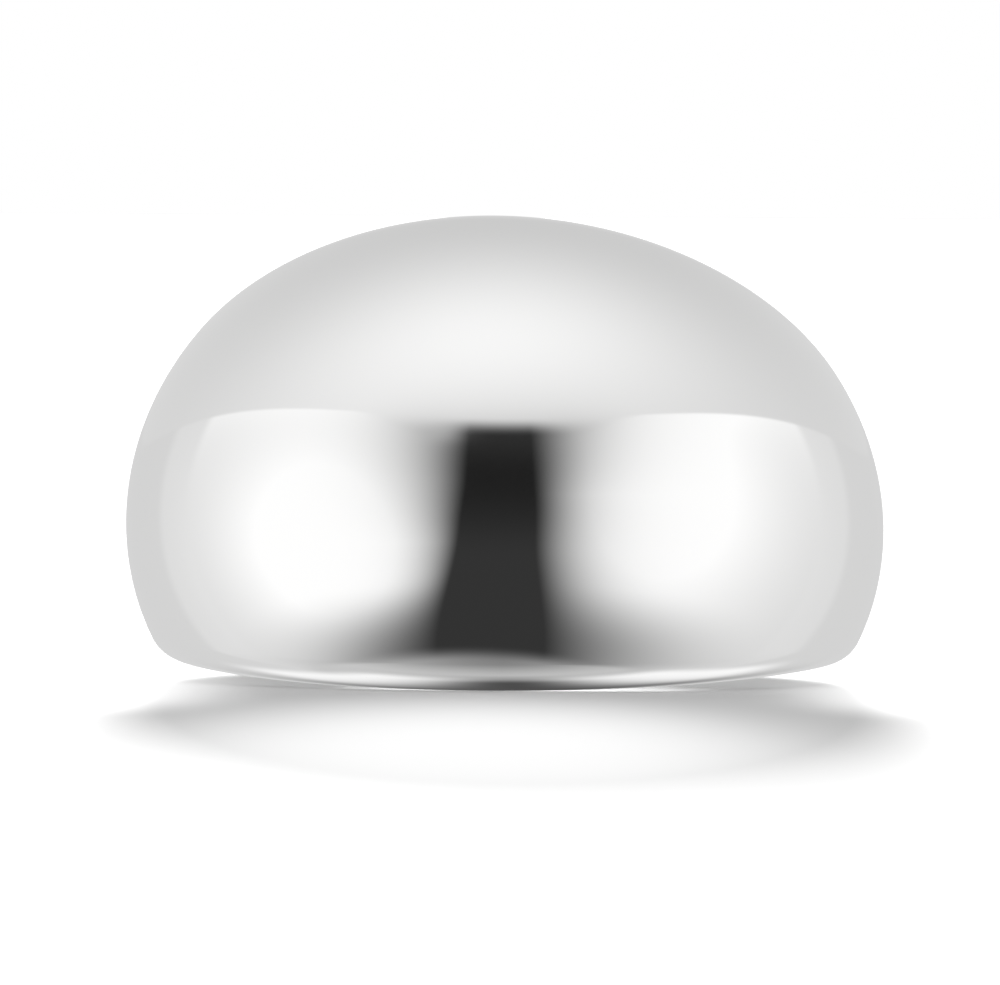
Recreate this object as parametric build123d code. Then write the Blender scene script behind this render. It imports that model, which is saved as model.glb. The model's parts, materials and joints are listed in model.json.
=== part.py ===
from build123d import *
import math
import os

# Dome ring: one piece of polished silver, wide and domed at the front and narrow at the shank.
# It lies on its side on a table, as it does by itself: the wide front and the narrow shank
# touch the table, so the ring leans back and the dome looks slightly upwards.
# Millimetres, +Z up, the table at z = 0, the dome facing -Y, X across the finger hole.

# Driving dimensions
bore_diameter = 17.3        # finger hole, a middle ring size
dome_width = 13.8           # across the dome at the front, along the finger
shank_width = 2.0           # across the shank at the back
crown_front = 13.0          # from the axis to the top of the dome
crown_back = 10.1           # from the axis to the outside of the shank
rim_front = 9.5             # from the axis to where crown and flat sides would meet, at the dome
rim_back = 9.9              # the same at the shank
shoulder_front = 1.7        # rounding between crown and flat side, at the dome
shoulder_back = 0.7         # the same rounding at the shank
inner_edge = 0.2            # rounding where the flat sides meet the finger hole
width_taper = 1.21          # how fast the width falls from dome to shank
crown_taper = 2.3           # how fast the crown height falls from dome to shank

section_step = 20           # degrees between the sections that the ring is lofted through
bore_stock = 0.8            # metal left inside the finger hole until it is cut

bore_radius = bore_diameter / 2


def towards_front(angle):
    """1 at the middle of the dome, 0 at the middle of the shank; the angle is in degrees."""
    return (1 + math.cos(math.radians(angle))) / 2


def half_width(angle):
    """Half the ring's width along the finger, at an angle round the ring from the dome."""
    return (shank_width + (dome_width - shank_width) * towards_front(angle) ** width_taper) / 2


def crown_radius(angle):
    """Distance from the axis to the outside of the ring, in the middle of its width."""
    return crown_back + (crown_front - crown_back) * towards_front(angle) ** crown_taper


def rim_radius(angle):
    """Distance from the axis to where the crown and the flat sides would meet."""
    return rim_back + (rim_front - rim_back) * towards_front(angle)


def shoulder_radius(angle):
    """Rounding between the crown and the flat sides."""
    return shoulder_back + (shoulder_front - shoulder_back) * towards_front(angle)


def shoulder_arc(angle):
    """Start, point halfway, centre and end of the upper shoulder arc, as (radius, height)."""
    half, crown, shoulder = half_width(angle), crown_radius(angle), shoulder_radius(angle)
    rise = crown - rim_radius(angle)
    arc = (half ** 2 + rise ** 2) / (2 * rise)
    level = half - shoulder
    reach = math.sqrt((arc - shoulder) ** 2 - level ** 2)
    turn = math.atan2(level, reach)
    start = (crown - arc + arc * math.cos(turn), arc * math.sin(turn))
    centre = (crown - arc + reach, level)
    halfway = (turn + math.pi / 2) / 2
    bend = (centre[0] + shoulder * math.cos(halfway), level + shoulder * math.sin(halfway))
    return start, bend, centre, (centre[0], half)


def below(point):
    """The same point on the other side of the ring's middle plane."""
    return (point[0], -point[1])


def section(angle):
    """The cross section at an angle from the dome: crown arc, two shoulder arcs and flats."""
    start, bend, _, end = shoulder_arc(angle)
    inside = (bore_radius - bore_stock, half_width(angle))
    outline = [
        ThreePointArc(below(start), (crown_radius(angle), 0), start),
        ThreePointArc(start, bend, end),
        Polyline(end, inside, below(inside), below(end)),
        ThreePointArc(below(end), below(bend), below(start)),
    ]
    turn = math.radians(angle)
    outward = Vector(math.sin(turn), -math.cos(turn), 0)
    plane = Plane(origin=(0, 0, 0), x_dir=outward, z_dir=outward.cross(Vector(0, 0, 1)))
    return plane * make_face(outline)


def half_ring():
    """The half at +X, lofted a little past the middle plane at both ends and cut there."""
    angles = range(-section_step, 180 + 2 * section_step, section_step)
    size = 4 * crown_front
    keep = Box(size, size, size, align=(Align.MIN, Align.CENTER, Align.CENTER))
    return loft([section(angle) for angle in angles]) & keep


def resting_tilt():
    """Degrees that the ring leans back. The table touches the inner edge of the dome's side
    and the shoulder of the shank."""
    front = (bore_radius + inner_edge, inner_edge - half_width(0))
    shank = shoulder_arc(180)[2]
    run = front[0] + shank[0]
    rise = -shank[1] - front[1]
    closer = math.asin((inner_edge - shoulder_back) / math.hypot(run, rise))
    return math.degrees(math.atan2(rise, run) + closer)


def dome_band():
    """The whole ring, lying on the table with its box centred over the origin."""
    half = half_ring()
    # The cutter's own seam is turned into the middle plane, where the two halves meet.
    ring = half + half.mirror(Plane.YZ) - Rot(Z=90) * Cylinder(bore_radius, 2 * dome_width)
    bore = ring.faces().filter_by(GeomType.CYLINDER)[0]
    ring = fillet([edge for edge in bore.edges() if edge.geom_type != GeomType.LINE], inner_edge)
    ring = Rot(X=-resting_tilt()) * ring
    box = ring.bounding_box()
    return Pos(0, -(box.min.Y + box.max.Y) / 2, -box.min.Z) * ring


os.makedirs("parts", exist_ok=True)
band = dome_band()
export_step(band, "parts/dome_band.step")
print("size", band.bounding_box().size, "volume", band.volume, "leans back", resting_tilt())
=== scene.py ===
# %% [markdown]
# # A dome ring in polished silver
#
# The object is a plain finger ring: one piece of silver with a wide, high dome at the front that
# narrows to a slim shank at the back. It lies on its side on a white table, as it does by itself.
# It has no stone, seam or ornament, so everything that is seen is shape and reflection. This
# script makes the ring's surface, its silver, the camera, the light tent that the ring mirrors,
# the table and the lamps, in that order.

import json
import math

import bpy
import numpy as np
from mathutils import Matrix, Vector


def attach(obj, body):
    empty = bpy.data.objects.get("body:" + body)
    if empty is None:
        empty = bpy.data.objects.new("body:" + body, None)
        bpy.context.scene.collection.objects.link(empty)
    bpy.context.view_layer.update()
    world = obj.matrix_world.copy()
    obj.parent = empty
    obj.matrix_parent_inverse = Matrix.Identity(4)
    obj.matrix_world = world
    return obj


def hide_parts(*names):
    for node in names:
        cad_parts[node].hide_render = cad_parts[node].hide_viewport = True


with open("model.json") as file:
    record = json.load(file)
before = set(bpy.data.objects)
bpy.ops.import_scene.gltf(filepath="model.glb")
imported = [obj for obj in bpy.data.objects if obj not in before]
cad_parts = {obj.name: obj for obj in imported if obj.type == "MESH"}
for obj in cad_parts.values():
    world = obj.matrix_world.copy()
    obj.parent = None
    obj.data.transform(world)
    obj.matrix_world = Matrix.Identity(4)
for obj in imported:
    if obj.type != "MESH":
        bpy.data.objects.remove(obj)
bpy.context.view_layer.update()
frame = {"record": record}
MM = 0.001

# %% [markdown]
# ## Where the finger hole is
#
# The ring leans back, because the wide front and the narrow shank rest on the table together.
# The record of the solid states the finger hole: its middle, its axis and its radius. Those three
# give the ring's own frame, in which it is easy to describe: "along" is the finger's direction,
# "front" points out through the middle of the dome, and the third direction is across.

# %% The ring's own directions
finger_hole = next(m for m in frame["record"]["mounts"] if m["name"] == "finger_bore")
ring_middle = Vector(finger_hole["pos_m"])
along = Vector(finger_hole["axis"]).normalized()
across = Vector((1, 0, 0))
front = across.cross(along)
if front.y > 0:
    front.negate()
bore_radius = finger_hole["dims"]["r_mm"] * MM
lean = math.degrees(math.atan2(along.y, along.z))
print("the finger hole's axis leans back by", round(lean, 2), "degrees")

# %% [markdown]
# ## The shape of the band
#
# A goldsmith thinks of this ring as one cross section that changes on the way round: wide and
# high at the dome, narrow and thin at the shank. The section is a flat-sided arch: a long crown
# arc, a small rounded shoulder at each side, two flat sides and the straight wall of the hole,
# with the sharp inner edges rounded off.
#
# A subdivision surface over a coarse cage would be the quick way. But a mirror shows every
# dent that a cage's corners leave, so the points are worked out from the arcs themselves, on a
# fine grid of columns round the ring and rows round the section.

# %% Sizes of the band
dome_width = 13.8 * MM       # across the dome at the front, along the finger
shank_width = 2.0 * MM       # across the shank at the back
crown_front = 13.0 * MM      # from the hole's axis to the top of the dome
crown_back = 10.1 * MM       # from the axis to the outside of the shank
rim_front = 9.5 * MM         # from the axis to where crown and flat sides would meet, at the dome
rim_back = 9.9 * MM          # the same at the shank
shoulder_front = 1.7 * MM    # rounding between crown and flat side, at the dome
shoulder_back = 0.7 * MM     # the same rounding at the shank
inner_edge = 0.2 * MM        # rounding where the flat sides meet the finger hole
width_taper = 1.21           # how fast the width falls from dome to shank
crown_taper = 2.3            # how fast the crown height falls from dome to shank


def towards_front(angle):
    """1 at the middle of the dome, 0 at the middle of the shank."""
    return (1 + math.cos(angle)) / 2


def half_width(angle):
    width = shank_width + (dome_width - shank_width) * towards_front(angle) ** width_taper
    return width / 2


def crown_radius(angle):
    return crown_back + (crown_front - crown_back) * towards_front(angle) ** crown_taper


def rim_radius(angle):
    return rim_back + (rim_front - rim_back) * towards_front(angle)


def shoulder_radius(angle):
    return shoulder_back + (shoulder_front - shoulder_back) * towards_front(angle)


for degrees in (0, 60, 120, 180):
    turn = math.radians(degrees)
    print(f"{degrees:3d} degrees from the dome: {2 * half_width(turn) / MM:5.2f} mm wide,",
          f"{(crown_radius(turn) - bore_radius) / MM:4.2f} mm thick")

# %% [markdown]
# ## One cross section
#
# The crown arc passes through the top of the dome and would meet the flat sides at the rim
# radius. The shoulder arc touches both the crown and the flat side. Each stretch gets as many
# points as it needs for a smooth reflection: most on the crown, a few on the flats.

# %% Points of a cross section
CROWN_POINTS, SHOULDER_POINTS, FLAT_POINTS, EDGE_POINTS, BORE_POINTS = 72, 20, 3, 6, 12


def upper_half(angle):
    """From the crown's middle over the shoulder and the flat side to the middle of the hole's
    wall, as (distance from the axis, height along the finger)."""
    half, crown, shoulder = half_width(angle), crown_radius(angle), shoulder_radius(angle)
    rise = crown - rim_radius(angle)
    arc = (half ** 2 + rise ** 2) / (2 * rise)
    level = half - shoulder
    reach = math.sqrt((arc - shoulder) ** 2 - level ** 2)
    turn = math.atan2(level, reach)
    points = [(crown - arc + arc * math.cos(t), arc * math.sin(t))
              for t in np.linspace(0, turn, CROWN_POINTS // 2, endpoint=False)]
    centre = crown - arc + reach
    points += [(centre + shoulder * math.cos(t), level + shoulder * math.sin(t))
               for t in np.linspace(turn, math.pi / 2, SHOULDER_POINTS, endpoint=False)]
    inside = bore_radius + inner_edge
    points += [(r, half) for r in np.linspace(centre, inside, FLAT_POINTS, endpoint=False)]
    points += [(inside - inner_edge * math.sin(t), half - inner_edge * (1 - math.cos(t)))
               for t in np.linspace(0, math.pi / 2, EDGE_POINTS, endpoint=False)]
    points += [(bore_radius, h)
               for h in np.linspace(half - inner_edge, 0, BORE_POINTS // 2, endpoint=False)]
    return points + [(bore_radius, 0.0)]


def section(angle):
    """The closed section: the upper half, and the same points mirrored for the lower half."""
    upper = upper_half(angle)
    return upper + [(r, -h) for r, h in upper[-2:0:-1]]


print("points in a section:", len(section(0)))

# %% [markdown]
# ## The band as a mesh
#
# The sections are set round the finger hole like the staves of a barrel and joined with four
# sided faces. Column and row wrap round, so the mesh is closed and has no seam.

# %% Build the band
COLUMNS = 384


def band_point(angle, radius, height):
    """A point of the ring in the table's frame."""
    outward = across * math.sin(angle) + front * math.cos(angle)
    return ring_middle + outward * radius + along * height


def band_mesh():
    angles = [2 * math.pi * column / COLUMNS for column in range(COLUMNS)]
    points = [band_point(angle, r, h) for angle in angles for r, h in section(angle)]
    rows = len(points) // COLUMNS
    faces = []
    for column in range(COLUMNS):
        here, there = column * rows, (column + 1) % COLUMNS * rows
        for row in range(rows):
            up = (row + 1) % rows
            faces.append((here + row, here + up, there + up, there + row))
    mesh = bpy.data.meshes.new("silver_band")
    mesh.from_pydata(points, [], faces)
    mesh.shade_smooth()
    mesh.update()
    return mesh


band = bpy.data.objects.new("silver_band", band_mesh())
bpy.context.scene.collection.objects.link(band)
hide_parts("dome_band")
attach(band, "root")
outward_faces = sum(p.normal.dot(p.center - ring_middle) > 0 for p in band.data.polygons)
print("faces:", len(band.data.polygons), "of which face away from the middle:", outward_faces)

# %% [markdown]
# ## Shader maths as expressions
#
# Both the silver and the light tent are formulas. Wired by hand they would be a page of nodes,
# so one small class wraps a socket: adding, multiplying or raising wires adds the Math nodes.

# %% A socket that can be calculated with
class Wire:
    """The output of a node. Arithmetic on it adds Math nodes to its tree."""

    def __init__(self, socket):
        self.socket = socket
        self.tree = socket.id_data

    @classmethod
    def node(cls, tree, kind, settings=None, sockets=None, out=0):
        """Any node: its type, its settings, then the values or wires of its sockets."""
        made = tree.nodes.new(kind)
        for name, value in (settings or {}).items():
            setattr(made, name, value)
        for name, value in (sockets or {}).items():
            if isinstance(value, Wire):
                tree.links.new(value.socket, made.inputs[name])
            else:
                made.inputs[name].default_value = value
        return cls(made.outputs[out]) if made.outputs else None

    def math(self, operation, *values):
        return Wire.node(self.tree, "ShaderNodeMath", {"operation": operation},
                         dict(enumerate(values)))

    def __add__(self, other):
        return self.math("ADD", self, other)

    def __radd__(self, other):
        return self.math("ADD", other, self)

    def __sub__(self, other):
        return self.math("SUBTRACT", self, other)

    def __rsub__(self, other):
        return self.math("SUBTRACT", other, self)

    def __mul__(self, other):
        return self.math("MULTIPLY", self, other)

    def __rmul__(self, other):
        return self.math("MULTIPLY", other, self)

    def __truediv__(self, other):
        return self.math("DIVIDE", self, other)

    def __rtruediv__(self, other):
        return self.math("DIVIDE", other, self)

    def __pow__(self, other):
        return self.math("POWER", self, other)

    def __abs__(self):
        return self.math("ABSOLUTE", self)

    def smooth(self, start, end):
        """0 below start, 1 above end and a soft change in between."""
        return Wire.node(self.tree, "ShaderNodeMapRange", {"interpolation_type": "SMOOTHSTEP"},
                         {"Value": self, "From Min": start, "From Max": end})

    def mix(self, low, high):
        """low where this wire is 0, high where it is 1."""
        return low + (high - low) * self

    def bell(self, middle, width):
        """1 at the middle, falling off softly to both sides."""
        away = (self - middle) / width
        return away.math("EXPONENT", away * away * -1)

    def at_least(self, limit):
        return self.math("MAXIMUM", self, limit)

    def at_most(self, limit):
        return self.math("MINIMUM", self, limit)

    def fading(self, reach):
        """1 where this wire is not above 0, and falling off beyond."""
        return self.math("EXPONENT", self.at_least(0) / reach * -1)


print("shader expressions ready")

# %% [markdown]
# ## Polished silver
#
# The real ring is polished to a mirror, so its colour is almost only what it reflects: silver
# returns about 95% of the light, a little less in blue. A perfect mirror looks computed, though.
# Worn silver has a faint haze from wiping and very fine hairlines, which show only close up.
# Both are small changes of roughness. The wall of the finger hole is rubbed by the finger, so it
# is a little duller than the dome. The distance from the hole's axis tells the two apart.

# %% Silver's finish
silver_colour = (0.952, 0.951, 0.948, 1)
dome_roughness = 0.035
hole_roughness = 0.11
hole_ends = (bore_radius + 0.03 * MM, bore_radius + 0.15 * MM)    # from dull to polished
haze_patches = 350.0                        # per metre, so about 3 mm across
haze_dulls = 0.012                          # added to the roughness
hairline_slant = (0.4, 0.9, 0.3)            # radians
hairline_fineness = (9000.0, 9000.0, 260.0)  # per metre: 0.1 mm wide and 4 mm long
hairline_dulls = 0.015
print("roughness of the dome and of the hole:", dome_roughness, hole_roughness)


# %% Silver material
def from_the_axis(tree, place):
    """How far a point is from the finger hole's axis."""
    offset = Wire.node(tree, "ShaderNodeVectorMath", {"operation": "SUBTRACT"},
                       {0: place, 1: tuple(ring_middle)})
    height = Wire.node(tree, "ShaderNodeVectorMath", {"operation": "DOT_PRODUCT"},
                       {0: offset, 1: tuple(along)}, out="Value")
    length = Wire.node(tree, "ShaderNodeVectorMath", {"operation": "LENGTH"},
                       {0: offset}, out="Value")
    return (length ** 2 - height ** 2) ** 0.5


def silver():
    material = bpy.data.materials.new("polished_silver")
    material.use_nodes = True
    tree = material.node_tree
    tree.nodes.clear()
    place = Wire.node(tree, "ShaderNodeTexCoord", out="Object")
    haze = Wire.node(tree, "ShaderNodeTexNoise", {}, {
        "Vector": place, "Scale": haze_patches, "Detail": 3.0, "Roughness": 0.6})
    stretched = Wire.node(tree, "ShaderNodeMapping", {}, {
        "Vector": place, "Rotation": hairline_slant, "Scale": hairline_fineness})
    hairs = Wire.node(tree, "ShaderNodeTexNoise", {}, {"Vector": stretched, "Scale": 1.0,
                                                       "Detail": 1.0})
    hairline = hairs.smooth(0.66, 0.74)
    outside = from_the_axis(tree, place).smooth(*hole_ends)
    polish = outside.mix(hole_roughness, dome_roughness)
    roughness = polish + haze * haze_dulls + hairline * hairline_dulls
    shader = Wire.node(tree, "ShaderNodeBsdfPrincipled", {}, {
        "Base Color": silver_colour, "Metallic": 1.0, "Roughness": roughness})
    Wire.node(tree, "ShaderNodeOutputMaterial", {}, {"Surface": shader})
    return material


band.data.materials.append(silver())
print("silver nodes:", len(band.data.materials[0].node_tree.nodes))

# %% [markdown]
# ## Where the camera stands
#
# The camera looks from a little to the right and just above the table, so the dome is seen
# nearly straight on. A long lens from 40 cm keeps the outline as flat as in a catalogue picture.
# The ring's middle is not in the middle of the picture, so the camera aims a little beside it
# instead of shifting the lens.

# %% Camera's place and framing
picture_size = (1000, 985)                  # pixels
ring_middle_pixel = (508.3, 543.6)          # where the hole's middle falls in the picture
pixels_per_mm = 34.96                       # at the ring's middle
camera_distance = 400 * MM
camera_side = 3.86                          # degrees round to the right
camera_height = 1.36                        # degrees above the table
camera_roll = 0.38                          # degrees, the picture's right side drops
film_width = 36                             # mm
focal_pixels = pixels_per_mm * camera_distance / MM
print("lens:", round(film_width * focal_pixels / picture_size[0], 1), "mm")


# %% Camera
def camera():
    side, height = math.radians(camera_side), math.radians(camera_height)
    to_camera = Vector((math.sin(side) * math.cos(height), -math.cos(side) * math.cos(height),
                        math.sin(height)))
    right = Vector((0, 0, 1)).cross(to_camera).normalized()
    up = to_camera.cross(right)
    turn = Matrix.Rotation(math.radians(camera_roll), 3, to_camera)
    right, up = turn @ right, turn @ up
    data = bpy.data.cameras.new("camera")
    data.sensor_width = film_width
    data.lens = film_width * focal_pixels / picture_size[0]
    data.clip_start, data.clip_end = 0.01, 100
    made = bpy.data.objects.new("camera", data)
    bpy.context.scene.collection.objects.link(made)
    made.location = ring_middle + to_camera * camera_distance
    off_right = (picture_size[0] / 2 - ring_middle_pixel[0]) / focal_pixels
    off_up = (ring_middle_pixel[1] - picture_size[1] / 2) / focal_pixels
    aim = -to_camera + right * off_right + up * off_up
    back = -aim.normalized()
    right = (right - back * right.dot(back)).normalized()
    up = back.cross(right)
    made.matrix_world = Matrix.Translation(made.location) @ Matrix(
        (right, up, back)).transposed().to_4x4()
    return made


bpy.context.scene.camera = camera()
print("camera, mm:", [round(c / MM, 1) for c in bpy.context.scene.camera.location])

# %% [markdown]
# ## The light tent
#
# A mirror-polished dome shows its whole surroundings, so the surroundings are what makes the
# picture. The ring stands in a white cloth tent: walls all round, a roof that starts at a seam
# above them, a lamp glowing through the cloth at each side, and a dark slit in front, where the
# camera looks in. It could be built from real sheets, but the long lens would have to look
# through them. Here the tent is painted on the sky by direction instead: t towards the camera,
# a across to the right and u up, which give a compass angle and a height angle in degrees.
# Tones are written as they look in the picture, 0 for black and 1 for white, and turned into
# light at the end. Nobody knows the real studio: the numbers in these formulas were tuned until
# the ring showed soft shapes like the photograph's.

# %% Directions in the tent
sky = bpy.data.worlds.new("light_tent")
sky.use_nodes = True
sky_tree = sky.node_tree
sky_tree.nodes.clear()
bpy.context.scene.world = sky

looking = Wire.node(sky_tree, "ShaderNodeTexCoord", out="Generated")
turned = Wire.node(sky_tree, "ShaderNodeVectorRotate", {"rotation_type": "Z_AXIS"},
                   {"Vector": looking, "Angle": -math.radians(camera_side)})
split = Wire.node(sky_tree, "ShaderNodeSeparateXYZ", {}, {"Vector": turned}).socket.node
a = Wire(split.outputs["X"])
t = Wire(split.outputs["Y"]) * -1
u = Wire(split.outputs["Z"])
to_degrees = 180 / math.pi
compass = a.math("ARCTAN2", a, t) * to_degrees      # 0 at the camera, positive to the right
height = u.math("ARCSINE", u) * to_degrees          # above the table's level
depth = height * -1                                 # below it
beside = abs(compass)
forward, backward = t.at_least(0), (t * -1).at_least(0)
print("direction nodes:", len(sky_tree.nodes))

# %% [markdown]
# ## Roof
#
# The roof cloth is lit from the camera's side: bright overhead and in front, darker to the sides
# and behind. Its seam to the walls is a curved line, lower behind the ring than in front. Just
# above the slit the cloth is a little darker and its seam is soft, because there it hangs loose.

# %% Roof of the tent
seam_beside = 0.429                 # how far up the seam is at the ring's sides
roof_overhead = 0.907               # tone of the cloth straight above
slit_middle = -1.6                  # degrees, a little to the left

above_seam = u - (seam_beside + t * 0.242 - t * t * 0.154)
in_front = 1 - abs(compass - slit_middle).smooth(21, 55)
roof = roof_overhead + t * (0.217 - t * (0.091 + t * 0.239))
roof = roof - a * (0.016 + t * 0.017) - a * a * (0.048 + t * 0.189)
roof = roof - in_front * 0.041 * above_seam.fading(0.058)
print("the seam is", round(math.degrees(math.asin(seam_beside)), 1), "degrees up at the sides")

# %% [markdown]
# ## Walls
#
# The walls are an even light grey behind the ring and a touch lighter beside it. Each side lamp
# makes a wide soft glow, the left one lower than the right one, and a white hem just under the
# seam adds to it. Low down the walls take the tone of the table further out, dark in front and
# pale behind.

# %% Walls of the tent
back_wall = 0.821                   # tone of the cloth behind the ring
far_table, far_shade = 0.865, 0.272

front_wall, side_wall = 1 - beside.smooth(112, 117), 1 - beside.smooth(128, 134)
left_glow = compass.bell(-60, 41) * height.bell(-15, 41) * 0.223
right_glow = compass.bell(52, 45) * height.bell(0, 50) * 0.205
hem = front_wall * 0.079 * (above_seam * -1).fading(0.163)

wall = back_wall + side_wall * 0.03 - front_wall * 0.008 + left_glow + right_glow + hem
wall = wall.at_most(1)
wall = depth.smooth(29.3, 57.6).mix(wall, far_table - compass.bell(0, 90) * far_shade)
print("wall nodes:", len(sky_tree.nodes))

# %% [markdown]
# ## The slit
#
# In front the tent is open for the camera, and the dark room shows through. The opening is wider
# at the bottom than at the top, and its edges are out of focus, more so low down and high up. A
# fold of the cloth at the upper left catches some light. This one dark stripe is what tells the
# eye that the ring is a mirror.

# %% Slit in front
dark_room = 0.118                   # tone of what shows through the slit

low = depth.at_least(0)
left_soft = 7.15 + (height + 15).at_least(0) * 0.155 + (depth - 25).at_least(0) ** 2 * 0.024
right_soft = 10.5 + (height - 3).at_least(0) * 0.233 + (depth - 15).at_least(0) ** 2 * 0.008
left_edge = 11.2 + depth.smooth(-10, 8) * 1.6 + low * low * 0.006
right_edge = 9.2 + depth.bell(4, 11) * 0.8 + low * low * 0.0035
slit = (compass * -1 - left_edge).fading(left_soft) * (compass - right_edge).fading(right_soft)
slit_tone = dark_room + depth.smooth(-10, 22) * 0.08 + height.smooth(10, 28) * 0.06
fold = compass.bell(-17, 7) * height.bell(26, 4) * 0.13
wall = slit.mix(wall, slit_tone) + fold
print("nodes with the slit:", len(sky_tree.nodes))

# %% [markdown]
# ## The table in the mirror
#
# The lowest part of the dome mirrors the table, and the sky holds a painted reflection of it. It
# is grey in front of the ring, a painted shade where the camera's side sends little light. The
# narrow rim under the dome looks backwards, below the ring: there the sky holds a painted
# reflection of a strip of table that the low lamp lights, and in its middle painted shade where
# the ring touches down.

# %% Table as the ring mirrors it
# Tones of the painted reflection of the table: grey below, a painted lit strip and painted
# contact shade.
table_below, painted_lit_tone, painted_contact_shade = 0.725, 0.975, 0.3     # tones

painted_table_reflection = table_below - forward * (0.2 + forward * 0.65) + abs(a) * 0.1
wall = (depth - compass * 0.05).smooth(56.3, 63.3).mix(wall, painted_table_reflection)
# Painted light: a strip of table lit by the low lamp, painted into the sky as the rim mirrors it.
painted_lit_strip = a.smooth(-0.47, -0.31) * (1 - a.smooth(0.39, 0.55)) * backward.smooth(0.08, 0.34)
wall = (painted_lit_strip * depth.smooth(28, 42)).mix(wall, painted_lit_tone)
# Painted shade: a dark patch in the sky where the rim mirrors the table under the ring.
contact_shade_mask = a.bell(0.02, 0.16) * backward.smooth(-0.02, 0.45)
wall = (contact_shade_mask * depth.smooth(15, 35)).mix(wall, painted_contact_shade)
print("nodes with the table:", len(sky_tree.nodes))

# %% [markdown]
# ## From tones to light
#
# Walls and roof are joined along the seam. The tones are then turned into light with the screen's
# own curve, and raised by what silver takes away, so a tone of 1 comes out as pure white.

# %% Light of the tent
silver_returns = 0.951
screen_offset, screen_power = 0.055, 2.4        # of the curve that screens use
seam_softness = 0.008

seam_below = in_front * -0.096 - seam_softness
tone = above_seam.smooth(seam_below, seam_softness).mix(wall, roof).at_least(0)
light = ((tone + screen_offset) / (1 + screen_offset)) ** screen_power / silver_returns
print("tent nodes:", len(sky_tree.nodes))

# %% [markdown]
# ## What the tent lights
#
# The ring mirrors the painted tent. For the camera and the table the sky is plain white, so
# that the background is the clean white of a catalogue picture.

# %% Join the tent and the white background
paper_white = 1.0
mirrored = Wire.node(sky_tree, "ShaderNodeLightPath", out="Is Glossy Ray")
shown = mirrored.mix(paper_white, light)
backdrop = Wire.node(sky_tree, "ShaderNodeBackground", {}, {"Color": shown, "Strength": 1.0})
Wire.node(sky_tree, "ShaderNodeOutputWorld", {}, {"Surface": backdrop})
print("sky nodes:", len(sky_tree.nodes))

# %% [markdown]
# ## Table
#
# The table is a plain pale sheet that reaches far behind the ring, so its edge is never seen.
# The ring doesn't mirror it, because the tent already holds a painted reflection of the table,
# with its painted shade.

# %% Table
table_reach = 30.0                  # metres from the ring to the table's edges
table_grey = 0.52
corners = [(-1, -1), (1, -1), (1, 1), (-1, 1)]
table_mesh = bpy.data.meshes.new("table")
table_mesh.from_pydata([(x * table_reach, y * table_reach, 0) for x, y in corners], [],
                       [(0, 1, 2, 3)])
table = bpy.data.objects.new("table", table_mesh)
bpy.context.scene.collection.objects.link(table)
table.visible_glossy = False

paper = bpy.data.materials.new("pale_table")
paper.use_nodes = True
paper.node_tree.nodes.clear()
matt = Wire.node(paper.node_tree, "ShaderNodeBsdfDiffuse", {},
                 {"Color": (table_grey, table_grey, table_grey, 1)})
Wire.node(paper.node_tree, "ShaderNodeOutputMaterial", {}, {"Surface": matt})
table_mesh.materials.append(paper)
print("table:", 2 * table_reach, "m across")

# %% [markdown]
# ## Lamps
#
# The shadow has a dark lobe to each side and almost none in the middle. One lamp can't do that.
# A low lamp behind the ring, made as a sun, throws the long soft shadow forwards. A spot high
# over the front pours a long narrow pool of light into the middle of it, and two more thin it
# out beside the ring. A spot's pool is round, so it is made long by squeezing the lamp's width.
# The polished ring also throws light back on the table close around it. Blender would need very
# many samples to find that light, so a weak lamp straight above the ring stands in for it. The
# lamps at the sides and the weak one cast no shadow, as light from all around wouldn't. The ring
# mirrors none of the lamps, because the tent already holds what it mirrors.

# %% Helpers for lamps
lamps_up = 150                      # mm from the table to each spot
bulb = 2 * MM                       # radius of a spot's bulb


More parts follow.
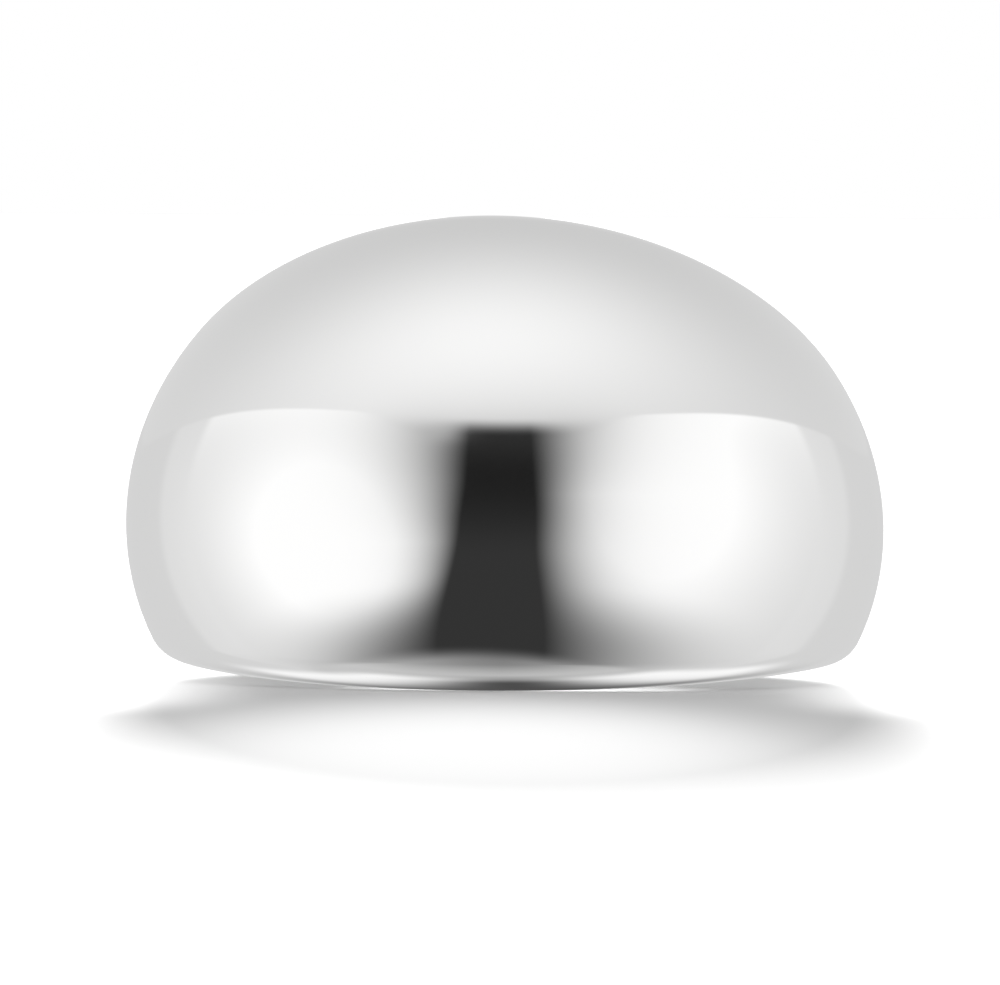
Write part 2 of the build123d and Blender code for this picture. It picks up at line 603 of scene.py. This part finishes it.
def lamp(name, kind, settings, place, target):
    data = bpy.data.lights.new(name, kind)
    for key, value in settings.items():
        setattr(data, key, value)
    made = bpy.data.objects.new(name, data)
    bpy.context.scene.collection.objects.link(made)
    made.location = place
    made.rotation_euler = (Vector(target) - Vector(place)).to_track_quat("-Z", "Y").to_euler()
    made.visible_glossy = False
    return made


def beside_ring(right, towards_camera, up):
    """A place given in millimetres from the ring's box middle, as the camera sees it."""
    side = math.radians(camera_side)
    return Vector((math.cos(side) * right + math.sin(side) * towards_camera,
                   math.sin(side) * right - math.cos(side) * towards_camera, up)) * MM


def pool(name, energy, cone, blend, right, start, end):
    """A spot whose round pool of light lies at end, in mm towards the camera from the ring."""
    return lamp(name, "SPOT", {"energy": energy, "spot_size": math.radians(cone),
                               "spot_blend": blend, "shadow_soft_size": bulb},
                beside_ring(right, start, lamps_up), beside_ring(right, end, 0))


def long_pool(name, energy, cone, width, right, start, end):
    """The same with a soft pool that is long towards the camera and narrow across."""
    made = pool(name, energy, cone, 1.0, right, start, end)
    made.scale.x = width
    return made


print("one millimetre to the camera's right is", tuple(round(c, 5) for c in beside_ring(1, 0, 0)))

# %% Lamps
low_lamp = lamp("low_lamp_behind", "SUN", {"energy": 39.0, "angle": math.radians(7)},
                beside_ring(-0.7, -100, 13.8), (0, 0, 0))
middle_pool = long_pool("lamp_over_the_front", 0.86, 36.6, 0.215, -0.6, 30, 55)
left_pool = long_pool("lamp_over_the_left", 1.3, 16, 0.17, -11.1, 0, 10)
right_pool = long_pool("lamp_over_the_right", 1.3, 16, 0.17, 11.6, 0, 10)
ring_glow = pool("glow_of_the_ring", 0.22, 10.9, 0.6, 0, 0, 0)
for made in (left_pool, right_pool, ring_glow):
    made.data.use_shadow = False
print("lamps:", [made.name for made in (low_lamp, middle_pool, left_pool, right_pool, ring_glow)])

# %% [markdown]
# ## How the picture is developed
#
# Blender's usual display transform would turn white paper a little grey. The plain one keeps it
# white.

# %% Finish
bpy.context.scene.view_settings.view_transform = "Standard"
